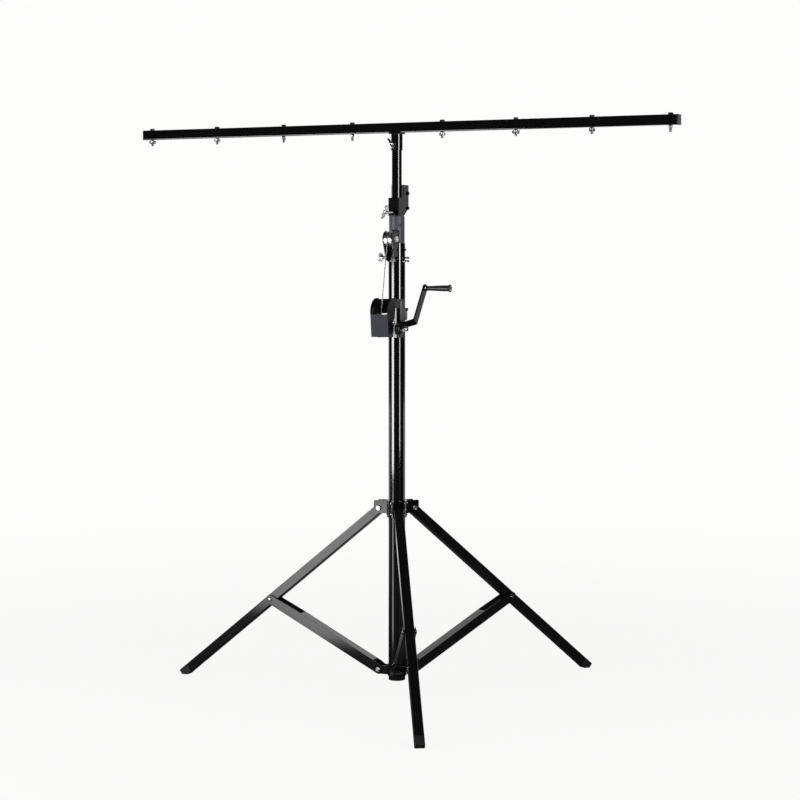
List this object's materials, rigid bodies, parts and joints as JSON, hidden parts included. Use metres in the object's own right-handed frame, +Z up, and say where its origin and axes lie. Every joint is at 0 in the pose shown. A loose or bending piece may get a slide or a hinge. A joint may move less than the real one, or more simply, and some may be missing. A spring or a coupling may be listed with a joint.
{
  "type": "crank light stand",
  "caption": "Tripod stand with a mast raised by a hand-cranked cable winch, an inner mast held by clamp screws, and a square crossbar with lamp bolts.",
  "frame": {"origin": "on the floor, on the column's axis", "axes": "+Z up the column, +X along the crossbar towards the crank's side, -Y out of the winch's front"},
  "size_m": [1.7566, 1.3238, 1.7236],
  "materials": {
    "black_powder_coat": "semi-gloss powder coat",
    "bright_zinc": "zinc plated",
    "black_plastic": "moulded",
    "steel_cable": "galvanised strands",
    "grey_sleeve": "satin",
    "dark_steel": "blackened"
  },
  "bodies": {
    "stand": {"outer_column": "black_powder_coat", "column_end_plug": "black_plastic", "lower_collar": "black_powder_coat", "brace_pivot_bolt_1": "bright_zinc", "brace_pivot_bolt_2": "bright_zinc", "brace_pivot_bolt_3": "bright_zinc", "pulley_bracket": "black_powder_coat", "pulley_axle": "bright_zinc", "winch_frame": "black_powder_coat", "winch_cover": "black_powder_coat", "brake_housing": "black_powder_coat", "housing_bolt": "black_powder_coat", "drum_axle": "bright_zinc", "lift_cable": "steel_cable", "lift_cable_inner": "steel_cable"},
    "tripod_collar": {"upper_collar": "black_powder_coat", "leg_pivot_bolt_1": "bright_zinc", "leg_pivot_bolt_2": "bright_zinc", "leg_pivot_bolt_3": "bright_zinc"},
    "leg_set_1": {"leg_1": "black_powder_coat", "foot_cap_1": "black_plastic"},
    "leg_set_2": {"leg_2": "black_powder_coat", "foot_cap_2": "black_plastic"},
    "leg_set_3": {"leg_3": "black_powder_coat", "foot_cap_3": "black_plastic"},
    "brace_set_1": {"brace_1": "black_powder_coat"},
    "brace_set_2": {"brace_2": "black_powder_coat"},
    "brace_set_3": {"brace_3": "black_powder_coat"},
    "mast": {"middle_tube": "black_powder_coat", "mast_sleeve": "grey_sleeve", "mast_foot": "black_plastic", "mast_guide": "black_plastic", "mast_bracket": "black_powder_coat"},
    "inner_mast": {"inner_tube": "black_powder_coat"},
    "head": {"bar_socket": "black_powder_coat", "cross_bar": "black_powder_coat", "bar_cap_left": "black_plastic", "bar_cap_right": "black_plastic", "lamp_bolt_1": "bright_zinc", "lamp_bolt_2": "bright_zinc", "lamp_bolt_3": "bright_zinc", "lamp_bolt_4": "bright_zinc", "lamp_bolt_5": "bright_zinc", "lamp_bolt_6": "bright_zinc", "lamp_bolt_7": "bright_zinc", "lamp_bolt_8": "bright_zinc"},
    "socket_screw": {"socket_wing_screw": "bright_zinc"},
    "mast_screw": {"mast_wing_screw": "bright_zinc"},
    "column_screw": {"column_wing_screw": "bright_zinc"},
    "latch": {"safety_latch": "bright_zinc"},
    "pulley": {"cable_pulley": "bright_zinc"},
    "drum": {"winch_drum": "bright_zinc", "drum_gear": "bright_zinc", "cable_winding": "steel_cable"},
    "crank": {"crank_shaft": "bright_zinc", "brake_hub": "dark_steel", "crank_arm": "black_powder_coat", "crank_nut": "bright_zinc"},
    "grip": {"crank_grip": "black_plastic"}
  },
  "joints": [
    {"name": "tripod_fold", "type": "slide", "parent": "stand", "child": "tripod_collar", "axis": [0, 0, 1], "range_m": [0, 0.4093]},
    {"name": "mast_lift", "type": "slide", "parent": "stand", "child": "mast", "axis": [0, 0, 1], "range_m": [0, 1.1], "deforming": ["lift_cable_inner"]},
    {"name": "inner_mast_slide", "type": "slide", "parent": "mast", "child": "inner_mast", "axis": [0, 0, 1], "range_m": [-0.098, 1.05]},
    {"name": "crossbar_swivel", "type": "hinge", "parent": "inner_mast", "child": "head", "pos_m": [0, 0, 1.66], "axis": [0, 0, 1], "continuous": true},
    {"name": "pulley_spin", "type": "hinge", "parent": "stand", "child": "pulley", "pos_m": [0, -0.043, 1.372], "axis": [1, 0, 0], "range_deg": [0, 2830]},
    {"name": "drum_spin", "type": "hinge", "parent": "stand", "child": "drum", "pos_m": [0, -0.091, 1.126], "axis": [1, 0, 0], "range_deg": [0, 2913]},
    {"name": "crank_spin", "type": "hinge", "parent": "stand", "child": "crank", "pos_m": [0, -0.06105, 1.10603], "axis": [1, 0, 0], "range_deg": [-8738, 0]},
    {"name": "grip_spin", "type": "hinge", "parent": "crank", "child": "grip", "pos_m": [0.087, 0.02389, 1.226], "axis": [1, 0, 0], "continuous": true},
    {"name": "column_screw_turn", "type": "hinge", "parent": "stand", "child": "column_screw", "pos_m": [-0.045, 0, 1.318], "axis": [-1, 0, 0], "continuous": true},
    {"name": "mast_screw_turn", "type": "hinge", "parent": "mast", "child": "mast_screw", "pos_m": [0, -0.05, 1.452], "axis": [0, -1, 0], "continuous": true},
    {"name": "socket_screw_turn", "type": "hinge", "parent": "head", "child": "socket_screw", "pos_m": [0, -0.03, 1.6547], "axis": [0, -1, 0], "continuous": true},
    {"name": "latch_swing", "type": "hinge", "parent": "mast", "child": "latch", "pos_m": [0, 0.0398, 1.51], "axis": [1, 0, 0], "range_deg": [0, 20], "stiffness_Nm_per_rad": 0.3, "springref_deg": -11.46},
    {"name": "leg_fold_1", "type": "hinge", "parent": "tripod_collar", "child": "leg_set_1", "pos_m": [-0.053, 0, 0.563], "axis": [0, -1, 0], "range_deg": [0, 51.11]},
    {"name": "brace_fold_1", "type": "hinge", "parent": "stand", "child": "brace_set_1", "pos_m": [-0.053, 0, 0.0711], "axis": [0, -1, 0], "range_deg": [-63.16, 0]},
    {"name": "leg_fold_2", "type": "hinge", "parent": "tripod_collar", "child": "leg_set_2", "pos_m": [0.0265, 0.0459, 0.563], "axis": [-0.866, 0.5, 0], "range_deg": [0, 51.11]},
    {"name": "brace_fold_2", "type": "hinge", "parent": "stand", "child": "brace_set_2", "pos_m": [0.0265, 0.0459, 0.0711], "axis": [-0.866, 0.5, 0], "range_deg": [-63.16, 0]},
    {"name": "leg_fold_3", "type": "hinge", "parent": "tripod_collar", "child": "leg_set_3", "pos_m": [0.0265, -0.0459, 0.563], "axis": [0.866, 0.5, 0], "range_deg": [0, 51.11]},
    {"name": "brace_fold_3", "type": "hinge", "parent": "stand", "child": "brace_set_3", "pos_m": [0.0265, -0.0459, 0.0711], "axis": [0.866, 0.5, 0], "range_deg": [-63.16, 0]}
  ],
  "couplings": [
    {"joint": "pulley_spin", "follows": "mast_lift", "rad_per_m": 44.843},
    {"joint": "drum_spin", "follows": "mast_lift", "rad_per_m": 46.189},
    {"joint": "crank_spin", "follows": "mast_lift", "rad_per_m": -138.57},
    {"joint": "leg_fold_1", "follows": "tripod_fold", "rad_per_m": 2.179},
    {"joint": "brace_fold_1", "follows": "tripod_fold", "rad_per_m": -2.6928},
    {"joint": "leg_fold_2", "follows": "tripod_fold", "rad_per_m": 2.179},
    {"joint": "brace_fold_2", "follows": "tripod_fold", "rad_per_m": -2.6928},
    {"joint": "leg_fold_3", "follows": "tripod_fold", "rad_per_m": 2.179},
    {"joint": "brace_fold_3", "follows": "tripod_fold", "rad_per_m": -2.6928}
  ]
}
